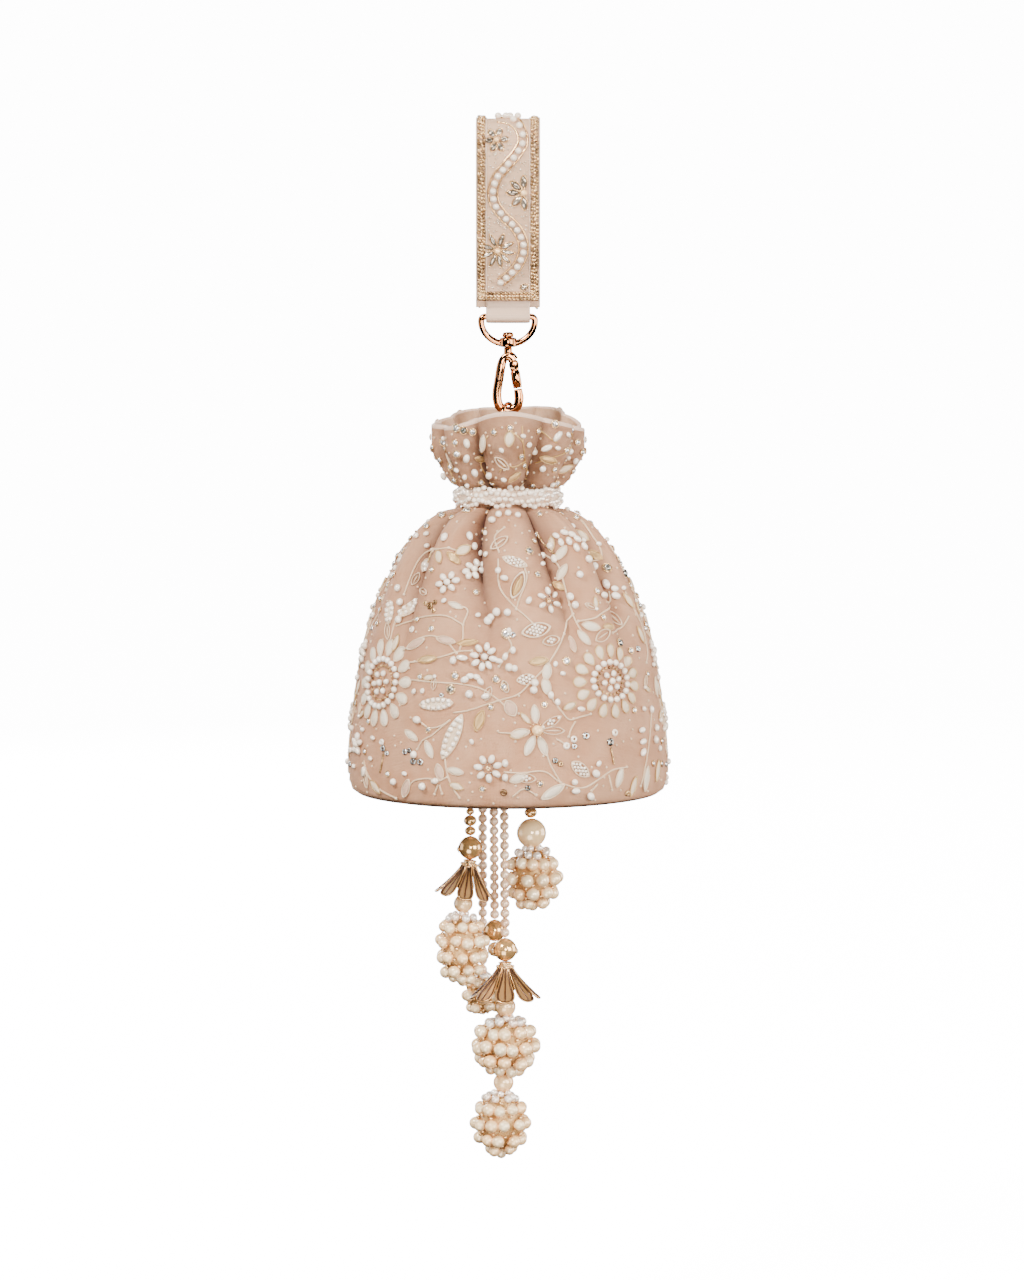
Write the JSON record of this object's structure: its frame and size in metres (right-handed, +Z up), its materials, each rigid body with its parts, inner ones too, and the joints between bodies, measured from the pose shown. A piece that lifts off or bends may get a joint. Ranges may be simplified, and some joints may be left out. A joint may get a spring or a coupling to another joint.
{
  "type": "potli bag",
  "caption": "Gathered cloth potli pouch with a beaded neck, hung from a wrist strap by a swivel snap hook, with strands of pearl clusters and petal caps under its round base.",
  "frame": {"origin": "inside of the strap loop's top, where it hangs on a wrist or a peg", "axes": "+Z up, against the bag's hang; the front with the strap's embroidered panel and the hook seen flat faces -Y; the hook's gate is on +X"},
  "size_m": [0.1591, 0.1592, 0.519],
  "materials": {
    "strap_cloth": "gold and cream embroidery over beige satin",
    "pouch_cloth": "dusty rose cloth, softly matt, embroidered all over",
    "satin": "pale beige satin",
    "rose_gold": "polished rose gold plate",
    "pale_gold": "polished pale gold plate",
    "white_beads": "white seed pearls",
    "cream_pearl": "cream pearl lustre",
    "gold_pearl": "champagne gold pearl lustre"
  },
  "bodies": {
    "strap": {"strap_band": "strap_cloth", "strap_tab": "satin", "swivel_eye": "rose_gold"},
    "bag": {"snap_hook": "rose_gold", "hanger_ring": "rose_gold", "hanger_tape": "satin", "pouch_cloth": "pouch_cloth", "base_panel": "pouch_cloth", "neck_rope": "white_beads", "left_top_pearls": "cream_pearl", "left_ball": "gold_pearl", "left_petal_cap": "pale_gold", "left_cap_pearl": "cream_pearl", "left_cluster": "cream_pearl", "front_string": "cream_pearl", "front_ball": "gold_pearl", "front_petal_cap": "pale_gold", "front_cap_pearl": "cream_pearl", "front_cluster": "cream_pearl", "front_link_pearl": "cream_pearl", "front_end_cluster": "cream_pearl", "back_string": "cream_pearl", "back_ball": "gold_pearl", "back_end_pearl": "cream_pearl", "mid_string": "cream_pearl", "mid_cluster": "cream_pearl", "right_top_pearls": "cream_pearl", "right_pearl": "cream_pearl", "right_cluster": "cream_pearl"},
    "gate": {"hook_gate": "rose_gold"}
  },
  "joints": [
    {"name": "swivel", "type": "hinge", "parent": "strap", "child": "bag", "pos_m": [0, 0, -0.1088], "axis": [0, 0, 1], "continuous": true},
    {"name": "gate_hinge", "type": "hinge", "parent": "bag", "child": "gate", "pos_m": [0.0029, 0, -0.1199], "axis": [0, 1, 0], "range_deg": [0, 24], "stiffness_Nm_per_rad": 0.02, "springref_deg": -20.05}
  ]
}
